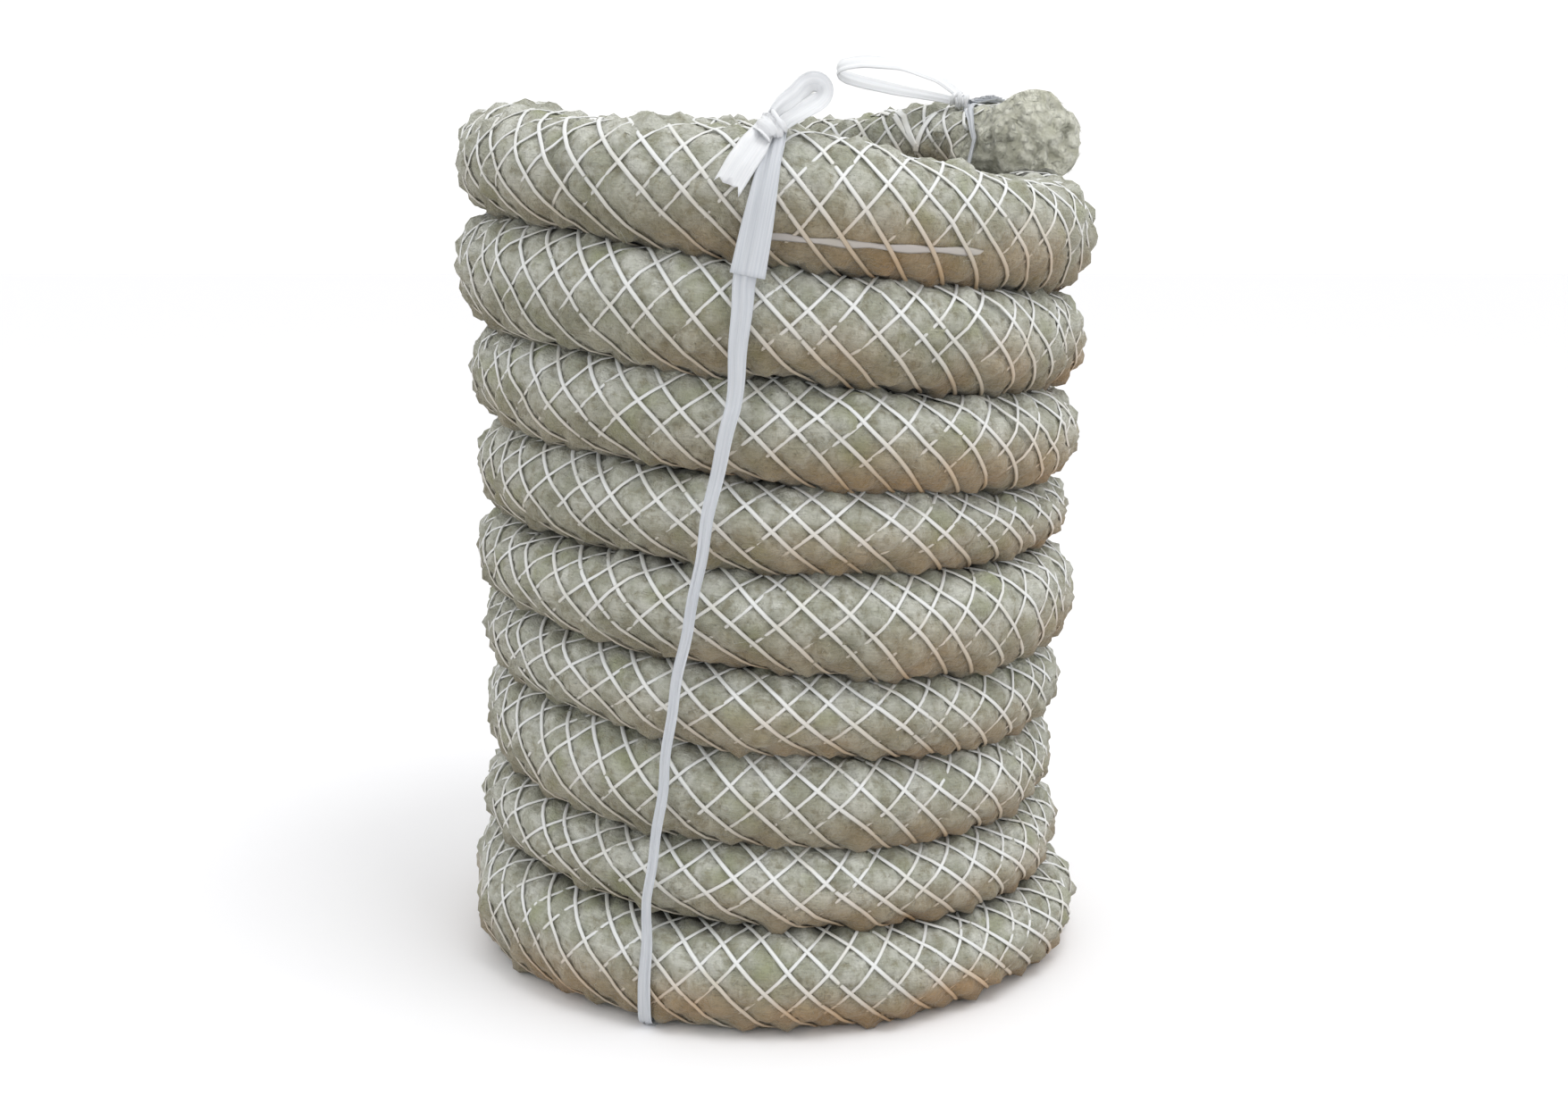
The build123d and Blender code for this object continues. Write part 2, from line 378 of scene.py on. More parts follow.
def gridMesh(name, places, uv, closeAcross, attributes=None):
    # rows of points to quads; closed round when closeAcross, with its two ends filled
    rows, columns = places.shape[:2]
    index = np.arange(rows * columns).reshape(rows, columns)
    last = columns if closeAcross else columns - 1
    a = index[:-1, :last]
    b = index[1:, :last]
    nextColumn = (np.arange(last) + 1) % columns
    c = index[1:][:, nextColumn]
    d = index[:-1][:, nextColumn]
    faces = np.stack([a, d, c, b], axis=-1).reshape(-1, 4)
    loops = faces.ravel()
    starts = np.arange(len(faces)) * 4
    if closeAcross:
        loops = np.concatenate([loops, index[0][::-1], index[-1]])
        starts = np.concatenate([starts, [len(faces) * 4, len(faces) * 4 + columns]])
    mesh = bpy.data.meshes.new(name)
    mesh.vertices.add(rows * columns)
    mesh.vertices.foreach_set("co", (places * mm).ravel())
    mesh.loops.add(len(loops))
    mesh.loops.foreach_set("vertex_index", loops.astype(np.int32))
    mesh.polygons.add(len(starts))
    mesh.polygons.foreach_set("loop_start", starts.astype(np.int32))
    mesh.update(calc_edges=True)
    mesh.polygons.foreach_set("use_smooth", np.ones(len(starts), bool))
    layer = mesh.uv_layers.new(name="along")
    layer.uv.foreach_set("vector", uv.reshape(-1, 2)[loops].astype(np.float32).ravel())
    for key, values in (attributes or {}).items():
        mesh.attributes.new(key, "FLOAT", "POINT").data.foreach_set(
            "value", values.astype(np.float32).ravel())
    return mesh


def addPiece(name, mesh, material, replaced=()):
    piece = bpy.data.objects.new(name, mesh)
    bpy.context.scene.collection.objects.link(piece)
    mesh.materials.append(material)
    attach(piece, body)
    if replaced:
        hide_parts(*replaced)
    return piece


def joinGrids(name, grids):
    # several closed grids as one mesh
    meshes = [gridMesh(name, *grid) for grid in grids]
    if len(meshes) == 1:
        return meshes[0]
    holders = []
    for mesh in meshes:
        holder = bpy.data.objects.new(name, mesh)
        bpy.context.scene.collection.objects.link(holder)
        holders.append(holder)
    with bpy.context.temp_override(active_object=holders[0], object=holders[0],
                                   selected_objects=holders, selected_editable_objects=holders):
        bpy.ops.object.join()
    mesh = holders[0].data
    bpy.data.objects.remove(holders[0])
    return mesh


class Nodes:
    # a short way to add and link shader nodes; an input may be a value or another node's output
    def __init__(self, name):
        self.material = bpy.data.materials.new(name)
        self.material.use_nodes = True
        self.tree = self.material.node_tree
        self.shader = self.tree.nodes["Principled BSDF"]

    def add(self, kind, inputs=None, **settings):
        node = self.tree.nodes.new(kind)
        for key, value in settings.items():
            setattr(node, key, value)
        for key, value in (inputs or {}).items():
            if isinstance(value, bpy.types.NodeSocket):
                self.tree.links.new(value, node.inputs[key])
            else:
                node.inputs[key].default_value = value
        return node

    def mix(self, factor, a, b, blend="MIX"):
        node = self.add("ShaderNodeMix", data_type="RGBA", blend_type=blend)
        for socket, value in ((node.inputs[0], factor), (node.inputs[6], a), (node.inputs[7], b)):
            if isinstance(value, bpy.types.NodeSocket):
                self.tree.links.new(value, socket)
            else:
                socket.default_value = value
        return node.outputs[2]

    def ramp(self, value, low, high, toLow=0.0, toHigh=1.0):
        return self.add("ShaderNodeMapRange", {0: value, 1: low, 2: high, 3: toLow, 4: toHigh}).outputs[0]

    def noise(self, place, scale, detail, roughness=0.5):
        return self.add("ShaderNodeTexNoise", {"Vector": place, "Scale": scale, "Detail": detail,
                                               "Roughness": roughness}).outputs[0]

    def attribute(self, name):
        return self.add("ShaderNodeAttribute", attribute_name=name).outputs["Fac"]

    def objectPlace(self):
        return self.add("ShaderNodeTexCoord").outputs["Object"]

    def alongPlace(self, **mapping):
        # the UV map along the piece, stretched by a Mapping node
        uv = self.add("ShaderNodeUVMap", uv_map="along").outputs[0]
        return self.add("ShaderNodeMapping", {"Vector": uv, **mapping}).outputs[0]

    def product(self, a, b):
        return self.add("ShaderNodeMath", {0: a, 1: b}, operation="MULTIPLY").outputs[0]

    def bump(self, height, strength, depth, normal=None, **settings):
        inputs = {"Height": height, "Strength": strength, "Distance": depth}
        if normal is not None:
            inputs["Normal"] = normal
        return self.add("ShaderNodeBump", inputs, **settings).outputs[0]

    def finish(self, color, normal=None, **plain):
        self.tree.links.new(color, self.shader.inputs["Base Color"])
        if normal is not None:
            self.tree.links.new(normal, self.shader.inputs["Normal"])
        for socket, value in plain.items():
            self.shader.inputs[socketNames[socket]].default_value = value
        return self.material


socketNames = {"roughness": "Roughness", "sheen": "Sheen Weight", "sheenRoughness": "Sheen Roughness",
               "specular": "Specular IOR Level", "transmission": "Transmission Weight", "ior": "IOR"}


woolLook = {
    # each share is where its noise begins and ends to show, and how much of it shows
    "pale": (0.60, 0.607, 0.54, 1), "middle": (0.375, 0.381, 0.30, 1),
    "broadScale": 75.0, "broadShare": (0.40, 0.60),
    "dark": (0.24, 0.225, 0.145, 1), "tuftScale": 210.0, "tuftShare": (0.52, 0.32, 0.0, 0.8),
    "green": (0.34, 0.355, 0.225, 1), "greenScale": 48.0, "greenShare": (0.56, 0.75),
    # painted light, in the next three: a bounce-light tint on the lower sides, shade on the undersides, and
    # near-black shade in the creases and beside the yarns
    "bounceColor": (0.54, 0.365, 0.205, 1),
    "paintedUnderShade": (0.50, 0.475, 0.39, 1),      # painted shade: what the underside's colour is multiplied by
    "paintedHollowShade": (0.05, 0.05, 0.03, 1),
    "barePale": (0.76, 0.76, 0.655, 1), "bareDark": (0.50, 0.50, 0.395, 1),
    "grainScale": 230.0, "grainEdge": (0.75, 0.25), "grainShare": 0.85,
    "strandTurns": (0.6, -0.5), "strandScale": (170.0, 1500.0, 1.0), "strandShade": (0.86, 1.11),
    "strandShare": (0.42, 0.58), "fineScale": 900.0,
    # strength and depth in metres of the bumps
    "tuftBump": (1.0, 0.0045), "strandBump": (0.4, 0.0014),
    "fineBump": (0.5, 0.0006), "grainBump": (1.0, 0.004),
    "plain": {"roughness": 0.95, "sheen": 0.25, "sheenRoughness": 0.5, "specular": 0.2},
}


def woolMaterial(look):
    n = Nodes("mineralWool")
    place = n.objectPlace()
    broad = n.noise(place, look["broadScale"], 4.0, 0.6)
    tufts = n.noise(place, look["tuftScale"], 5.0, 0.65)
    # long thin noise cells are the strands, lying at two slants along the rope
    strands = [n.noise(n.alongPlace(Rotation=(0, 0, turn), Location=(seed, 0, 0), Scale=look["strandScale"]),
                       1.0, 3.0, 0.6) for turn, seed in zip(look["strandTurns"], (0.0, 7.0))]
    strand = n.mix(n.ramp(broad, *look["strandShare"]), *strands)
    color = n.mix(n.ramp(broad, *look["broadShare"]), look["middle"], look["pale"])
    color = n.mix(n.ramp(tufts, *look["tuftShare"]), color, look["dark"])
    green = n.noise(place, look["greenScale"], 2.0)
    color = n.mix(n.ramp(green, *look["greenShare"]), color, look["green"])
    # painted bounce light on the lower sides, then painted shade on the undersides
    color = n.mix(n.attribute("paintedBounce"), color, look["bounceColor"])
    color = n.mix(n.attribute("paintedUnderShade"), color, n.mix(1.0, color, look["paintedUnderShade"], "MULTIPLY"))
    color = n.mix(1.0, color, n.ramp(strand, 0.3, 0.7, *look["strandShade"]), "MULTIPLY")
    # the bare end shows round grains
    bare = n.attribute("bare")
    grains = n.add("ShaderNodeTexVoronoi", {"Vector": place, "Scale": look["grainScale"], "Smoothness": 0.6},
                   feature="SMOOTH_F1").outputs[0]
    grainy = n.mix(n.ramp(grains, *look["grainEdge"]), look["bareDark"], look["barePale"])
    color = n.mix(n.product(bare, look["grainShare"]), color, grainy)
    # painted shade in the creases between turns and beside the yarns
    color = n.mix(n.attribute("paintedHollowShade"), color, look["paintedHollowShade"])
    normal = n.bump(tufts, *look["tuftBump"])
    normal = n.bump(strand, *look["strandBump"], normal)
    normal = n.bump(n.noise(place, look["fineScale"], 4.0, 0.7), *look["fineBump"], normal)
    normal = n.bump(n.product(bare, grains), *look["grainBump"], normal, invert=True)
    return n.finish(color, normal, **look["plain"])


yarnLook = {
    # the second colour of each pair is painted bounce light on the yarns' lower sides
    "net": (0.70, 0.71, 0.70, 1), "netBounceColor": (0.66, 0.47, 0.30, 1),
    "tracer": (0.60, 0.59, 0.62, 1), "tracerBounceColor": (0.60, 0.56, 0.55, 1),
    "dirt": (0.62, 0.61, 0.55, 1), "dirtScale": 60.0, "dirtShare": (0.5, 0.75),
    # painted shade: what the yarns' undersides are multiplied by
    "paintedUnderShade": (0.60, 0.57, 0.50, 1),
    "lineScale": (60.0, 5000.0, 1.0), "lineBump": (0.4, 0.0003),  # fine lines along the film
    "roughness": 0.38,
}


def yarnMaterial(name, color, bounceColor, look):
    n = Nodes(name)
    dirt = n.noise(n.objectPlace(), look["dirtScale"], 3.0)
    base = n.mix(n.ramp(dirt, *look["dirtShare"]), color, look["dirt"])
    # painted bounce light, then painted shade, on the yarns' lower sides
    base = n.mix(n.attribute("paintedBounce"), base, bounceColor)
    base = n.mix(n.attribute("paintedUnderShade"), base, n.mix(1.0, base, look["paintedUnderShade"], "MULTIPLY"))
    lines = n.noise(n.alongPlace(Scale=look["lineScale"]), 1.0, 2.0)
    return n.finish(base, n.bump(lines, *look["lineBump"]), roughness=look["roughness"])


filmLook = {
    "single": ((0.61, 0.64, 0.68, 1), (0.76, 0.78, 0.81, 1)),       # thin and thick places of one layer
    "folded": ((0.84, 0.86, 0.885, 1), (0.96, 0.965, 0.975, 1)),    # and of several
    "lineScale": (25.0, 1600.0, 1.0), "lineBump": (0.25, 0.0005),
    "roughness": 0.33, "transmission": 0.3, "ior": 1.3,
}


def tapeMaterial(name, thin, thick, look):
    n = Nodes(name)
    lines = n.noise(n.alongPlace(Scale=look["lineScale"]), 1.0, 3.0)
    return n.finish(n.mix(n.ramp(lines, 0.3, 0.7), thin, thick), n.bump(lines, *look["lineBump"]),
                    roughness=look["roughness"], transmission=look["transmission"], ior=look["ior"])


fibreLook = {"dark": (0.36, 0.36, 0.29, 1), "pale": (0.55, 0.55, 0.49, 1), "scale": 90.0, "roughness": 0.8}


def fibreMaterial(look):
    n = Nodes("woolFibre")
    broad = n.noise(n.objectPlace(), look["scale"], 2.0)
    return n.finish(n.mix(n.ramp(broad, 0.4, 0.6), look["dark"], look["pale"]), roughness=look["roughness"])


wool = woolMaterial(woolLook)
fibre = fibreMaterial(fibreLook)
netWhite = yarnMaterial("netYarnFilm", yarnLook["net"], yarnLook["netBounceColor"], yarnLook)
tracerGrey = yarnMaterial("tracerFilm", yarnLook["tracer"], yarnLook["tracerBounceColor"], yarnLook)
tape = tapeMaterial("filmTape", *filmLook["single"], filmLook)
foldedTape = tapeMaterial("foldedTape", *filmLook["folded"], filmLook)
print("materials ready")


cutFace = {"waves": 7, "waveSizes": (0.55, 1.1), "depth": 0.55, "reach": 3.0, "seed": 3}
shade = {
    "pinch": 0.35, "pinchPower": 3,   # painted shade beside the yarns
    "crease": 0.95, "creasePower": 1.5, "creaseFrom": 0.80, "creaseOver": 0.15,  # painted shade between two turns
    "coveredFrom": 352.0, "coveringTo": 2890.0,  # degrees wound, with a turn above and below
    "bareUnderShade": 0.6, "bareBounce": 0.3,         # what is left of the painted underside shade and painted bounce light on the bare end
}


def makeRope(cut):
    ends = rope["capDepth"] * np.sin(np.linspace(rope["capStart"], np.pi / 2.0, rope["capRings"]))[::-1]
    count = int(ropeLength / rope["ringStep"])
    s = np.concatenate([-ends, np.linspace(0.0, ropeLength, count), ropeLength + ends[::-1]])
    turn = np.arange(rope["columns"]) / rope["columns"] - 0.5  # seam on the inner side
    s, turn = np.meshgrid(s, turn, indexing="ij")
    places = sectionPoint(s, turn, swelling(s, turn))
    # the cut faces are uneven: sine waves of random direction push them in and out
    random = np.random.default_rng(cut["seed"])
    count = cut["waves"]
    waves = random.normal(0.0, 1.0, (count, 3))
    waves *= random.uniform(*cut["waveSizes"], (count, 1)) / np.linalg.norm(waves, axis=1, keepdims=True)
    uneven = np.sin(places @ waves.T + random.uniform(0.0, 6.28, count)).sum(axis=-1)
    _, angle = ropeFrame(s)
    ahead = np.stack([-np.sin(np.radians(angle)), np.cos(np.radians(angle)), 0.0 * angle], axis=-1)
    reach = cut["reach"]
    past = (np.clip(s - ropeLength, 0.0, reach) + np.clip(s, -reach, 0.0)) / reach
    places += (cut["depth"] * uneven * past)[..., None] * ahead
    uv = np.stack([s, turn * 2.0 * np.pi * rope["meanRadius"]], axis=-1) * mm
    bare = bareShare(s)
    down, _ = netPlaces(s, turn)
    # painted shade: darker beside the yarns, and in the creases where turns lie on each other
    pinch = (1.0 - np.abs(np.sin(np.pi * down))) ** shade["pinchPower"] * (1.0 - bare)
    side = np.sin(2.0 * np.pi * turn)
    touched = np.where(side > 0.0, angle > shade["coveredFrom"], angle < shade["coveringTo"]) * (1.0 - bare)
    crease = np.clip((np.abs(side) - shade["creaseFrom"]) / shade["creaseOver"], 0.0, 1.0)
    crease = crease ** shade["creasePower"] * touched
    # the painted bounce light and painted shade go on the wool as attributes
    mesh = gridMesh("woolRope", places, uv, True, {
        "paintedBounce": paintedBounce(s, turn) * (1.0 - (1.0 - shade["bareBounce"]) * bare),
        "paintedHollowShade": np.clip(shade["pinch"] * pinch + shade["crease"] * crease, 0.0, 1.0),
        "paintedUnderShade": lowSide(turn) * (1.0 - (1.0 - shade["bareUnderShade"]) * bare),
        "bare": bare,
    })
    return addPiece("woolRope", mesh, wool, ["wool_core"])


woolRope = makeRope(cutFace)
print("wool rope made")


net = {
    # lift is over the wool and varies by dip; the wool buries a yarn by sink on the low side
    "down": {"width": 1.85, "thickness": 0.8, "lift": 1.3, "dip": 0.25, "sink": 0.0},
    "up": {"width": 1.5, "thickness": 0.6, "lift": 1.2, "dip": 0.42, "sink": 1.6},
    "dipSize": 17.0, "dipSeed": 5,   # added to the hand's own seed
    "startBack": 6.0, "startUneven": (2.0, 3.1),  # of the cut ends, along the bare wool
    "step": 2.7,
    "sides": 6,
    "overFloor": 0.15,
}


def yarnGrid(s, turn, width, thickness, lift):
    # a flat oval tube that follows the surface points and lies flat on them
    width, thickness = np.broadcast_to(width, s.shape), np.broadcast_to(thickness, s.shape)
    out = swelling(s, turn, withNet=False) + lift
    line = sectionPoint(s, turn, out)
    normal = surfaceNormal(s, turn, out)
    travel = unit(np.gradient(line, axis=0))
    across = unit(np.cross(travel, normal))
    normal = np.cross(across, travel)
    around = np.linspace(0.0, 2.0 * np.pi, net["sides"], endpoint=False)
    places = (line[:, None, :]
              + (np.cos(around)[None, :, None] * (width / 2.0)[:, None, None]) * across[:, None, :]
              + (np.sin(around)[None, :, None] * (thickness / 2.0)[:, None, None]) * normal[:, None, :])
    places[..., 2] = np.maximum(places[..., 2], net["overFloor"])
    distance = np.concatenate([[0.0], np.cumsum(np.linalg.norm(np.diff(line, axis=0), axis=-1))])
    uv = np.stack(np.broadcast_arrays(distance[:, None], np.cos(around)[None, :] * width[:, None] / 2.0),
                  axis=-1) * mm
    # painted bounce light and painted shade on the yarn's lower side
    paintedBounceShare = np.broadcast_to(paintedBounce(s, turn)[:, None], places.shape[:2])
    paintedUnderShade = np.broadcast_to(lowSide(turn)[:, None], places.shape[:2])
    return places, uv, True, {"paintedBounce": paintedBounceShare, "paintedUnderShade": paintedUnderShade}


def makeNet(v):
    # each yarn is a helix, one hand turning against the other
    pieces = []
    count = surface["yarnsEachWay"]
    for hand, way in (("down", -1.0), ("up", 1.0)):
        look, seed = v[hand], surface["yarnSeeds"][hand]
        reach, beat = v["startUneven"]
        for k in range(count):
            s = np.arange(rope["bareEnd"] - v["startBack"] + reach * np.sin(beat * k), ropeLength, v["step"])
            own = np.full_like(s, k)
            turn = yarnPlace(s, own, seed) / count + way * s / surface["netPitch"]
            lift = look["lift"] + look["dip"] * softNoise(s / v["dipSize"], own, count, seed + v["dipSeed"])
            lift = lift - look["sink"] * lowSide(turn) ** 2
            name = f"netYarn{hand.capitalize()}{k + 1}"
            grid = yarnGrid(s, turn, look["width"], look["thickness"], lift)
            pieces.append(addPiece(name, gridMesh(name, *grid), netWhite, ["net_jacket"]))
    return pieces


netYarns = makeNet(net)
print("net made", len(netYarns))


def makeTracer(v):
    ends = np.interp(v["angles"], routeAngle, routeDistance)
    part = np.linspace(0.0, 1.0, v["points"])
    s = ends[0] + (ends[1] - ends[0]) * part
    turn = v["turns"][0] + (v["turns"][1] - v["turns"][0]) * part
    fade = np.minimum(1.0, v["fade"][0] * (1.0 - part) + v["fade"][1])
    reach, beat = v["widthWave"]
    width = v["width"] * (1.0 - reach + reach * np.sin(beat * part))
    grid = yarnGrid(s, turn, width, v["thickness"], v["lift"] * fade)
    return addPiece("tracerYarn", gridMesh("tracerYarn", *grid), tracerGrey, ["tracer_yarn"])


tracerYarn = makeTracer(tracer)

looseEnds = {
    # angle wound and turn of the section, where each drawn-together yarn starts and ends
    "lines": (((67.0, 0.29), (54.0, 0.37), (43.0, 0.50)), ((60.0, 0.30), (50.5, 0.38), (42.5, 0.51)),
              ((40.5, 0.37), (42.0, 0.43), (43.0, 0.52))),
    "width": 3.3, "thickness": 0.6, "lift": 2.3, "points": 24,
}


def makeLooseEnds(v):
    grids = []
    for line in v["lines"]:
        angle, turn = np.array(line).T
        part = np.linspace(0.0, 2.0, v["points"])
        s = np.interp(easedTable(part, range(3), angle), routeAngle, routeDistance)
        turn = easedTable(part, range(3), turn)
        grids.append(yarnGrid(s, turn, v["width"], v["thickness"], v["lift"]))
    return addPiece("netYarnEnds", joinGrids("netYarnEnds", grids), netWhite, ["net_jacket"])


netYarnEnds = makeLooseEnds(looseEnds)


fuzz = {
    "count": 9200, "endCount": 3600,
    "length": (2.0, 6.5), "endLonger": 1.25, "width": 0.18, "taper": (1.0, 0.8, 0.35),
    "rise": (0.15, 0.75),    # how steeply they stand out
    "droop": 1.1,            # how much of their rise the tips keep, at most
    "rooted": 0.3, "endFrom": 0.6, "overFloor": 0.1,
    "seed": 5,
}


def makeFuzz(v):
    # each fibre is a bent three-sided thread of three rings, rooted in the wool
    random = np.random.default_rng(v["seed"])
    count = v["count"] + v["endCount"]
    s = random.uniform(0.0, ropeLength, count)
    s[:v["endCount"]] = random.uniform(-v["endFrom"] * rope["capDepth"], rope["bareEnd"], v["endCount"])
    turn = random.uniform(-0.5, 0.5, count)
    out = swelling(s, turn)
    root = sectionPoint(s, turn, out - v["rooted"])
    normal = surfaceNormal(s, turn, out)
    travel = unit(sectionPoint(s + 1.0, turn, out) - sectionPoint(s - 1.0, turn, out))
    side = np.cross(travel, normal)
    lean = random.uniform(-np.pi, np.pi, count)[:, None]
    along = np.cos(lean) * travel + np.sin(lean) * side
    longer = np.where(s < rope["bareEnd"], v["endLonger"], 1.0)[:, None]
    length = random.uniform(*v["length"], count)[:, None] * longer
    rise = random.uniform(*v["rise"], count)[:, None]
    middle = root + length * (0.5 * along + 0.5 * rise * normal)
    tip = root + length * (along + rise * random.uniform(0.0, v["droop"], count)[:, None] * normal)
    rings = np.stack([root, middle, tip], axis=1)
    across = np.cross(along, normal)
    corner = np.radians([90.0, 210.0, 330.0])
    thick = v["width"] * np.array(v["taper"]) / 2.0
    offset = (np.cos(corner)[None, None, :, None] * across[:, None, None, :]
              + np.sin(corner)[None, None, :, None] * normal[:, None, None, :])
    places = rings[:, :, None, :] + thick[None, :, None, None] * offset
    places[..., 2] = np.maximum(places[..., 2], v["overFloor"])
    ids = np.arange(count * 9).reshape(count, 3, 3)
    following = np.roll(ids, -1, axis=2)
    quads = np.stack([ids[:, :-1], following[:, :-1], following[:, 1:], ids[:, 1:]], axis=-1).reshape(-1, 4)
    caps = np.concatenate([ids[:, 0, ::-1], ids[:, 2, :]])
    loops = np.concatenate([quads.ravel(), caps.ravel()]).astype(np.int32)
    starts = np.concatenate([np.arange(len(quads)) * 4, len(quads) * 4 + np.arange(len(caps)) * 3])
    mesh = bpy.data.meshes.new("woolFuzz")
    mesh.vertices.add(count * 9)
    mesh.vertices.foreach_set("co", (places * mm).ravel())
    mesh.loops.add(len(loops))
    mesh.loops.foreach_set("vertex_index", loops)
    mesh.polygons.add(len(starts))
    mesh.polygons.foreach_set("loop_start", starts.astype(np.int32))
    mesh.update(calc_edges=True)
    return addPiece("woolFuzz", mesh, fibre)


woolFuzz = makeFuzz(fuzz)


tapeForm = {
    "thickness": 0.35, "edge": 0.4,      # edge: how much of it is left at the two edges
    "columns": 11,       # across the tape, on each of its faces
    "step": 2.0,
    "pleat": 0.35,       # height of the lengthways folds
    "drift": ((0.6, 17.0), (0.9, 11.0)),  # how each of two sets of folds wanders along the tape
    "secondFolds": 0.6,  # their height, of the first set's
    "raggedness": 9.0, "notchReach": 3.0,  # waves of a jagged end, and how far its notch is felt
    "sector": 2.2,       # degrees of the wool on each side that the tape bears on
    "innerLeg": 102.0, "overTop": 20.0,   # from the coil's axis to the inner leg, and on to the outer one
    "smoothing": 3,
    "overFloor": 0.05, "bandOverFloor": 0.3,
}
woolPoints = np.zeros(len(woolRope.data.vertices) * 3)
woolRope.data.vertices.foreach_get("co", woolPoints)
woolPoints = woolPoints.reshape(-1, 3) / mm


def evenly(line, step):
    # the same line with its points a step apart
    distance = np.concatenate([[0.0], np.cumsum(np.linalg.norm(np.diff(line, axis=0), axis=1))])
    even = np.linspace(0.0, distance[-1], max(4, int(distance[-1] / step)))
    return np.stack([np.interp(even, distance, line[:, k]) for k in range(line.shape[1])], axis=-1)


def rounded(line, times):
    # each point moves towards the middle of its neighbours
    for _ in range(times):
        line = line.copy()
        line[1:-1] = 0.5 * line[1:-1] + 0.25 * (line[:-2] + line[2:])
    return line


def tapeGrid(line, facing, width, pleat=None, folds=(2.0, 3.5), seed=1, ragged=0.0, notch=0.0):
    # a thin closed strip: across from -1 to 1 on its outer face and back on its inner face,
    # with lengthways folds made of two sine waves that drift along the tape
    count = len(line)
    travel = unit(np.gradient(line, axis=0))
    across = unit(np.cross(travel, np.broadcast_to(facing, line.shape)))
    normal = np.cross(across, travel)
    width = np.broadcast_to(width, count)
    pleat = np.broadcast_to(tapeForm["pleat"] if pleat is None else pleat, count)
    random = np.random.default_rng(seed)
    phase = random.uniform(0.0, 6.28, 4)
    part = np.arange(count) * tapeForm["step"]
    across01 = np.linspace(-1.0, 1.0, tapeForm["columns"])
    waves = []
    for k, (reach, length) in enumerate(tapeForm["drift"]):
        drift = phase[k] + reach * np.sin(part / length + phase[k + 2])
        waves.append(np.sin(folds[k] * np.pi * across01[None, :] + drift[:, None]))
    fold = waves[0] + tapeForm["secondFolds"] * waves[1]
    u = np.concatenate([across01, across01[::-1]])
    lift = np.concatenate([fold, fold[:, ::-1]], axis=1) * pleat[:, None]
    half = np.concatenate([np.full(len(across01), 0.5), np.full(len(across01), -0.5)]) * tapeForm["thickness"]
    half = half * np.where(np.abs(u) == 1.0, tapeForm["edge"], 1.0)
    places = (line[:, None, :] + (u[None, :] * width[:, None] / 2.0)[..., None] * across[:, None, :]
              + (lift + half[None, :])[..., None] * normal[:, None, :])
    # the cut end: pulled back in the middle for a notch, and jagged
    reach = tapeForm["notchReach"] * max(notch, 0.01)
    share = np.clip((part - part[-1] + reach) / reach, 0.0, 1.0)
    jag = notch * (1.0 - np.abs(u)) - ragged * np.sin(tapeForm["raggedness"] * u + seed)
    places -= (share[:, None] * jag[None, :])[..., None] * travel[:, None, :]
    places[..., 2] = np.maximum(places[..., 2], tapeForm["overFloor"])
    uv = np.stack(np.broadcast_arrays(part[:, None], u[None, :] * width[:, None] / 2.0), axis=-1) * mm
    return places, uv, True


def bandAzimuth(v, distance, height):
    # from the azimuths of a tie's inner leg to those of its outer leg, across the wall
    outer = np.interp(height, v["heights"], v["azimuths"])
    inner = np.interp(height, v["heights"], v["innerAzimuths"])
    share = np.clip((distance - tapeForm["innerLeg"]) / tapeForm["overTop"], 0.0, 1.0)
    return inner + (outer - inner) * share * share * (3.0 - 2.0 * share)


def wallLoop(v, lowest, clear):
    # the shortest way round the coil's wall at a tie's azimuths: the convex hull
    # of the wool's points there, as distance from the axis and height
    azimuth = bandAzimuth(v, np.hypot(woolPoints[:, 0], woolPoints[:, 1]), woolPoints[:, 2])
    own = np.degrees(np.arctan2(woolPoints[:, 1], woolPoints[:, 0]))
    aside = np.abs((own - azimuth + 180.0) % 360.0 - 180.0)
    near = (aside < tapeForm["sector"]) & (woolPoints[:, 2] >= lowest)
    flat = np.stack([np.hypot(woolPoints[near, 0], woolPoints[near, 1]), woolPoints[near, 2]], axis=1)
    hull = flat[convex_hull_2d([Vector(p) for p in flat])]
    top = int(np.argmax(hull[:, 1]))
    hull = np.concatenate([hull[top:], hull[:top + 1]])
    loop = rounded(evenly(hull, tapeForm["step"]), tapeForm["smoothing"])
    travel = unit(np.gradient(loop, axis=0))
    out = np.stack([travel[:, 1], -travel[:, 0]], axis=1)
    middle = loop.mean(axis=0)
    out *= np.sign(np.sum(out * (loop - middle), axis=1, keepdims=True))
    loop = loop + clear * out
    loop[:, 1] = np.maximum(loop[:, 1], tapeForm["bandOverFloor"])
    return loop, out


def onWall(loop, out, azimuth):
    # from distance and height to the place on the coil, with the way the tape faces
    around = np.radians(azimuth)
    line = np.stack([loop[:, 0] * np.cos(around), loop[:, 0] * np.sin(around), loop[:, 1]], axis=1)
    facing = np.stack([out[:, 0] * np.cos(around), out[:, 0] * np.sin(around), out[:, 1]], axis=1)
    return line, facing


def addTape(name, grids, node, material=tape):
    return addPiece(name, joinGrids(name, grids), material, [node])


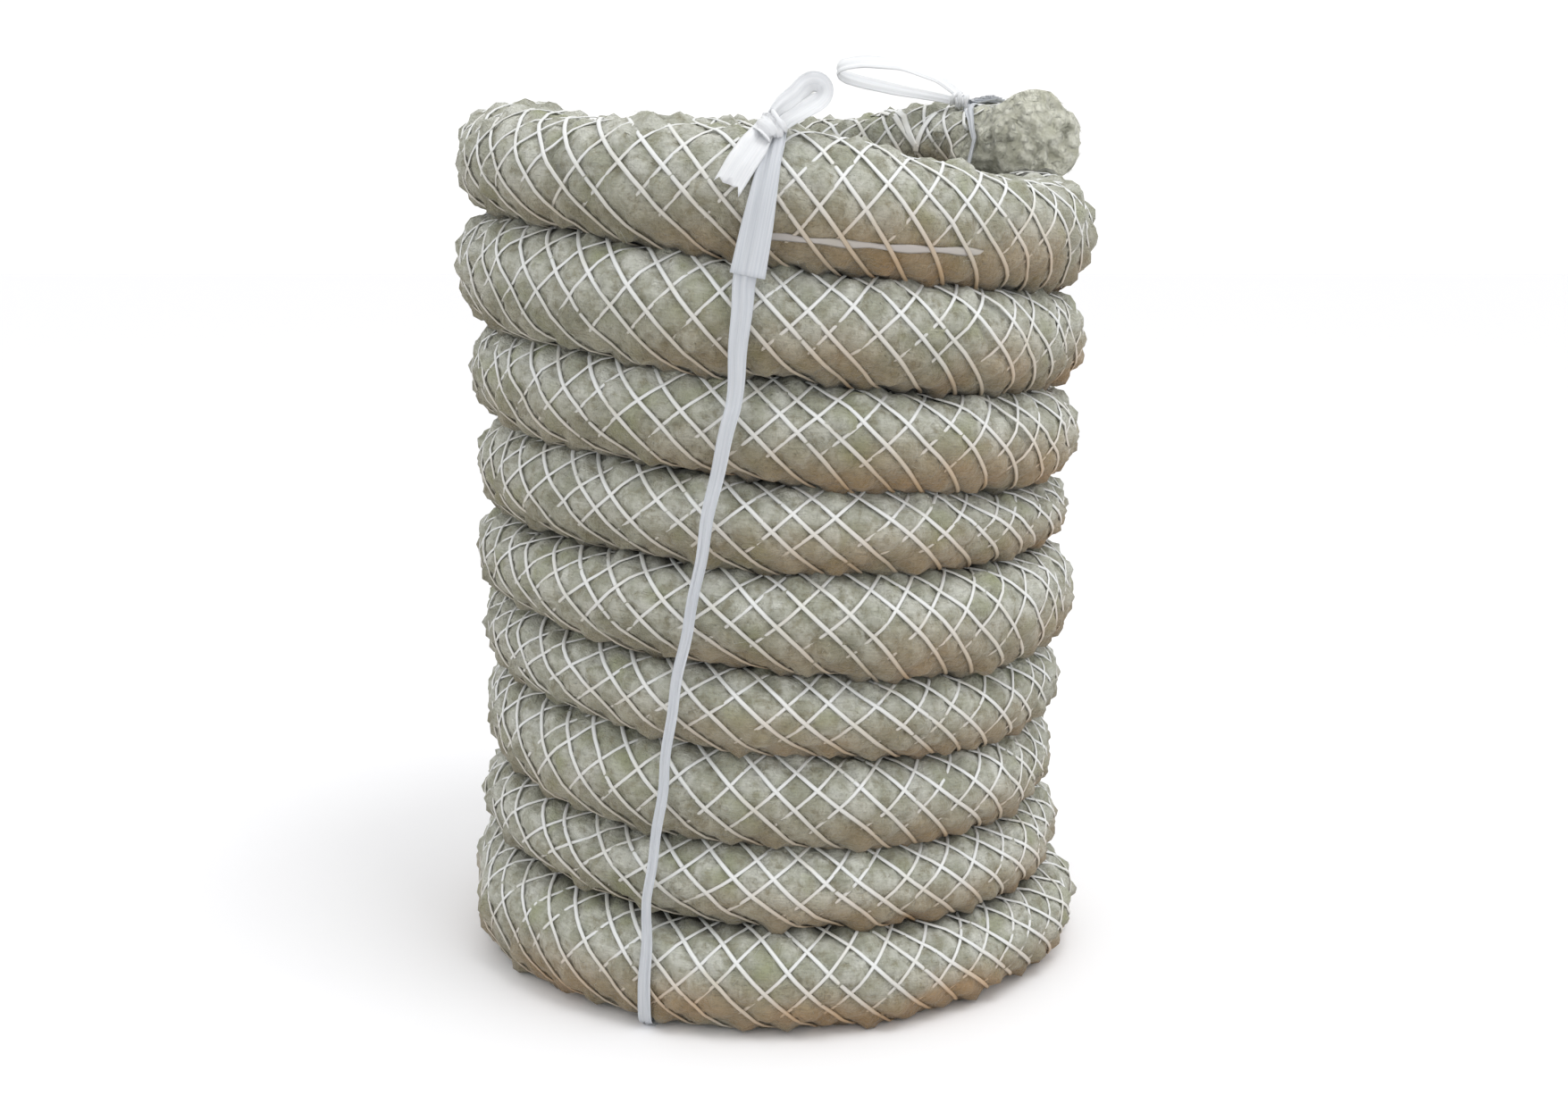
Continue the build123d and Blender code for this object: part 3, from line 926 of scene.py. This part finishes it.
frontTie = {
    "clear": 1.3,            # of the band from the wool, and of the tail from the band
    "wobble": ((0.5, 13.0), (0.3, 5.1)),
    "heights": (0.0, 9.0, 58.0, 115.0, 177.0, 258.0, 304.0, 363.0, 400.0),
    "azimuths": (-112.9, -112.6, -111.0, -107.8, -103.3, -96.2, -94.1, -89.3, -89.0),
    "innerAzimuths": (-112.9, -112.0, -108.0, -104.0, -99.0, -94.0, -91.5, -89.3, -89.0),
    "widthHeights": (0.0, 60.0, 190.0, 260.0, 310.0, 360.0),
    "widths": (6.2, 4.3, 4.6, 6.2, 9.0, 8.0),
    "knot": (-0.7, -131.5, 362.5), "knotAxis": (0.75, 0.1, 0.65), "knotFacing": (0.0, -0.95, 0.3),
    "knotRadius": 5.2, "knotWidth": 7.5,
    "bowCentre": (15.5, -127.0, 375.5), "bowRadius": 4.6, "bowOval": 0.09, "bowTilt": 1.5,
    "bowTurn": (-75.0, 185.0), "bowTurnedBack": (0.0, 5.0, 0.0),
    "bowWidth": 9.5, "bowShares": (0.5, 1.0, 1.0, 0.55),
    # where the bow's two legs leave the knot and reach its loop
    "bowOut": ((2.0, 1.0, -1.0), (6.5, 2.5, 2.5)), "bowBack": ((3.0, 3.0, 7.0), (-0.5, 1.0, 1.5)),
    # the height where it is cut, its least distance from the axis, and its shift to the right
    "longTailEnd": 306.5, "longTailFrom": 128.0, "longTailAside": 0.3,
    "longTailWidths": (6.5, 9.0, 12.0, 13.6),
    "shortTail": ((-2.5, -133.0, 362.0), (-6.5, -138.5, 356.0), (-11.0, -141.5, 349.5),
                  (-16.5, -142.5, 340.5)),
    "shortTailWidths": (8.0, 11.0, 11.5, 11.0), "shortTailFacing": (0.15, -1.0, 0.25),
}


def spread(values, count):
    # the values, evenly spread over a number of points
    return np.interp(np.linspace(0, len(values) - 1, count), range(len(values)), values)


def makeFrontTie(v):
    loop, out = wallLoop(v, 0.0, v["clear"])
    azimuth = bandAzimuth(v, loop[:, 0], loop[:, 1])
    line, facing = onWall(loop, out, azimuth)
    for reach, length in v["wobble"]:
        line[:, 0] += reach * np.sin(line[:, 2] / length)
    width = np.interp(line[:, 2], v["widthHeights"], v["widths"])
    addTape("frontTieBand", [tapeGrid(line, facing, width, seed=2)], "front_tie_band")

    # the long tail lies over the band from the knot to its straight cut
    front = (loop[:, 1] > v["longTailEnd"]) & (loop[:, 0] > v["longTailFrom"])
    tail, tailFacing = onWall(loop[front] + v["clear"] * out[front], out[front], azimuth[front])
    order = np.argsort(-tail[:, 2])
    tail, tailFacing = tail[order], tailFacing[order]
    tail[:, 0] += v["longTailAside"]
    width = spread(v["longTailWidths"], len(tail))
    grid = tapeGrid(tail, tailFacing, width, pleat=0.55, folds=(1.3, 2.6), seed=6)
    addTape("frontTieLongTail", [grid], "front_tie_long_tail")

    short = rounded(evenly(np.array(v["shortTail"]), 1.2), 3)
    grid = tapeGrid(short, v["shortTailFacing"], spread(v["shortTailWidths"], len(short)), pleat=0.7,
                    folds=(1.1, 2.2), seed=4, ragged=1.2, notch=3.0)
    addTape("frontTieShortTail", [grid], "front_tie_short_tail", foldedTape)
    knot = np.array(v["knot"])
    addTape("frontTieKnot", knotGrids(knot, np.array(v["knotAxis"]), v["knotFacing"], v["knotRadius"],
                                      v["knotWidth"], 8), "front_tie_knot", foldedTape)

    # the bow: up from the knot, round its oval end and back
    centre = np.array(v["bowCentre"])
    turn = np.radians(np.linspace(*v["bowTurn"], 34))
    radius = v["bowRadius"] * (1.0 + v["bowOval"] * np.sin(2.0 * turn + 0.6))
    ring = np.stack([radius * np.cos(turn), v["bowTilt"] * np.sin(turn), radius * np.sin(turn)], axis=1)
    bow = np.concatenate([knot + np.array(v["bowOut"]), centre + ring, knot + np.array(v["bowBack"])])
    bow = rounded(evenly(bow, 1.3), 5)
    outward = (bow - centre) * (1.0, 0.0, 1.0) + v["bowTurnedBack"]
    widths = v["bowWidth"] * np.interp(np.linspace(0, 1, len(bow)), (0, 0.3, 0.7, 1), v["bowShares"])
    addTape("frontTieBow", [tapeGrid(bow, outward, widths, pleat=0.3, seed=9)], "front_tie_bow", foldedTape)


knotForm = {
    # of each turn: its size, its shift along the axis, how flat and how slanted it lies
    "turns": ((1.0, -1.4, 0.75, 0.2), (0.9, 1.8, 0.8, -0.25), (0.7, 0.2, 1.15, 0.9)),
    "round": 2.35, "points": 44,      # round: of half turns that each goes on for
    "grow": (0.78, 0.05), "slant": 0.6, "slantFrom": 0.6,
    "narrower": 0.12,                 # than the turn before
    "pleat": 0.6, "folds": (1.6, 3.1),
}


def knotGrids(centre, axis, facing, radius, width, seed):
    # two turns of tape wound tightly about an axis, and a third laid across them; each is a
    # slanted ellipse that grows as it goes round
    axis = unit(axis)
    first = unit(np.array(facing) - axis * np.dot(facing, axis))
    second = np.cross(axis, first)
    grids = []
    start, more = knotForm["grow"]
    for k, (reach, shift, squash, tilt) in enumerate(knotForm["turns"]):
        turn = np.linspace(0.0, knotForm["round"] * np.pi, knotForm["points"]) + k
        grow = radius * reach * (start + more * turn)
        slant = tilt * knotForm["slant"] * np.sin(turn + knotForm["slantFrom"])
        line = (centre + axis * shift + np.outer(grow * np.cos(turn), first)
                + np.outer(grow * squash * np.sin(turn), second)
                + np.outer(grow * slant, axis))
        away = line - (centre + axis * shift)
        grids.append(tapeGrid(line, away, width * (1.0 - knotForm["narrower"] * k),
                              pleat=knotForm["pleat"], folds=knotForm["folds"], seed=seed + k))
    return grids


makeFrontTie(frontTie)
print("front tie made")

backTie = {
    "heights": (0.0, 200.0, 340.0, 361.0, 370.0, 378.0, 400.0),
    "azimuths": (36.0, 36.0, 36.0, 36.0, 36.0, 36.0, 36.0),
    "innerAzimuths": (30.0, 26.0, 18.0, 19.5, 26.0, 33.0, 35.0),
    "lowest": 29.0, "clear": 0.9, "tailClear": 1.2,
    "widthHeights": (0.0, 345.0, 360.0, 375.0, 390.0),
    "widths": (5.5, 4.5, 2.4, 5.0, 6.5),   # of the inner leg
    "outerWidth": 7.5, "innerTo": 110.0, "evened": 9,
    "knot": (86.5, 59.0, 378.5), "knotAxis": (-0.9, 0.2, 0.3), "knotFacing": (0.3, -0.7, 0.8),
    "knotRadius": 3.1, "knotWidth": 5.5,
    # the flattened loop: out along its upper leg, round the end, back along the lower leg
    "bow": ((87.5, 61.0, 381.0), (77.0, 61.5, 389.0), (60.0, 63.0, 395.5), (42.0, 65.5, 397.0),
            (32.0, 68.5, 395.7), (28.6, 71.2, 393.6), (31.5, 73.5, 390.6), (42.0, 74.5, 387.6),
            (60.0, 72.5, 383.6), (76.0, 67.5, 380.6), (86.0, 63.0, 378.5)),
    "bowWidths": (4.5, 7.5, 8.0, 7.5, 4.5), "bowFlip": 5.0, "bowLean": 1.1,
    "tailAzimuths": (44.0, 40.0, 35.0), "tailHeights": (330.0, 355.0, 390.0),
    "tailWidth": 8.5, "tailFrom": (112.0, 342.0),   # distance from the axis and height
}


def makeBackTie(v):
    loop, out = wallLoop(v, v["lowest"], v["clear"])
    line, facing = onWall(loop, out, bandAzimuth(v, loop[:, 0], loop[:, 1]))
    inner = np.hypot(line[:, 0], line[:, 1]) < v["innerTo"]
    width = np.where(inner, np.interp(line[:, 2], v["widthHeights"], v["widths"]), v["outerWidth"])
    evened = v["evened"]
    width = np.convolve(np.pad(width, evened // 2, "edge"), np.ones(evened) / evened, "valid")
    addTape("backTieBand", [tapeGrid(line, facing, width, seed=12)], "back_tie_band")
    addTape("backTieKnot", knotGrids(np.array(v["knot"]), np.array(v["knotAxis"]), v["knotFacing"],
                                     v["knotRadius"], v["knotWidth"], 15), "back_tie_knot", foldedTape)
    bow = rounded(evenly(np.array(v["bow"]), 1.5), 4)
    # up on the upper leg, down on the lower one, and both legs lie tilted towards the front
    up = np.clip((np.argmin(bow[:, 0]) - np.arange(len(bow))) / v["bowFlip"], -1.0, 1.0)
    outward = np.stack([-np.sqrt(1.0 - up * up), -v["bowLean"] * up, up], axis=1)
    grid = tapeGrid(bow, outward, spread(v["bowWidths"], len(bow)), pleat=0.25, seed=17)
    addTape("backTieBow", [grid], "back_tie_bow", foldedTape)
    outer = (loop[:, 0] > v["tailFrom"][0]) & (loop[:, 1] > v["tailFrom"][1])
    tail, tailFacing = onWall(loop[outer] + v["tailClear"] * out[outer], out[outer],
                              np.interp(loop[outer, 1], v["tailHeights"], v["tailAzimuths"]))
    order = np.argsort(-tail[:, 2])
    grid = tapeGrid(tail[order], tailFacing[order], v["tailWidth"], pleat=0.5, seed=19, notch=2.5)
    addTape("backTieTail", [grid], "back_tie_tail")


makeBackTie(backTie)
print("back tie made")


studio = {
    "sky": 1.09,
    "topPower": 9.0, "topSize": 0.8, "topPlace": (0.5, -0.45, 1.6), "topAim": (0.0, 0.0, 0.2),
    "floor": (0.905, 0.905, 0.92, 1), "floorHalf": 6.0, "floorRoughness": 0.9,
}


def makeStudio(v):
    mesh = bpy.data.meshes.new("floor")
    half = v["floorHalf"]
    corners = [(-half, -half, 0), (half, -half, 0), (half, half, 0), (-half, half, 0)]
    mesh.from_pydata(corners, [], [(0, 1, 2, 3)])
    floor = bpy.data.objects.new("floor", mesh)
    bpy.context.scene.collection.objects.link(floor)
    n = Nodes("paleFloor")
    n.shader.inputs["Base Color"].default_value = v["floor"]
    n.shader.inputs["Roughness"].default_value = v["floorRoughness"]
    mesh.materials.append(n.material)
    world = bpy.data.worlds.new("studio")
    world.use_nodes = True
    background = world.node_tree.nodes["Background"]
    background.inputs[0].default_value = (1.0, 1.0, 1.0, 1)
    background.inputs[1].default_value = v["sky"]
    bpy.context.scene.world = world
    light = bpy.data.lights.new("top", "AREA")
    light.energy = v["topPower"]
    light.size = v["topSize"]
    lamp = bpy.data.objects.new("top", light)
    lamp.location = v["topPlace"]
    aim = Vector(v["topAim"]) - Vector(v["topPlace"])
    lamp.rotation_euler = aim.to_track_quat("-Z", "Y").to_euler()
    bpy.context.scene.collection.objects.link(lamp)


makeStudio(studio)
print("studio lit")
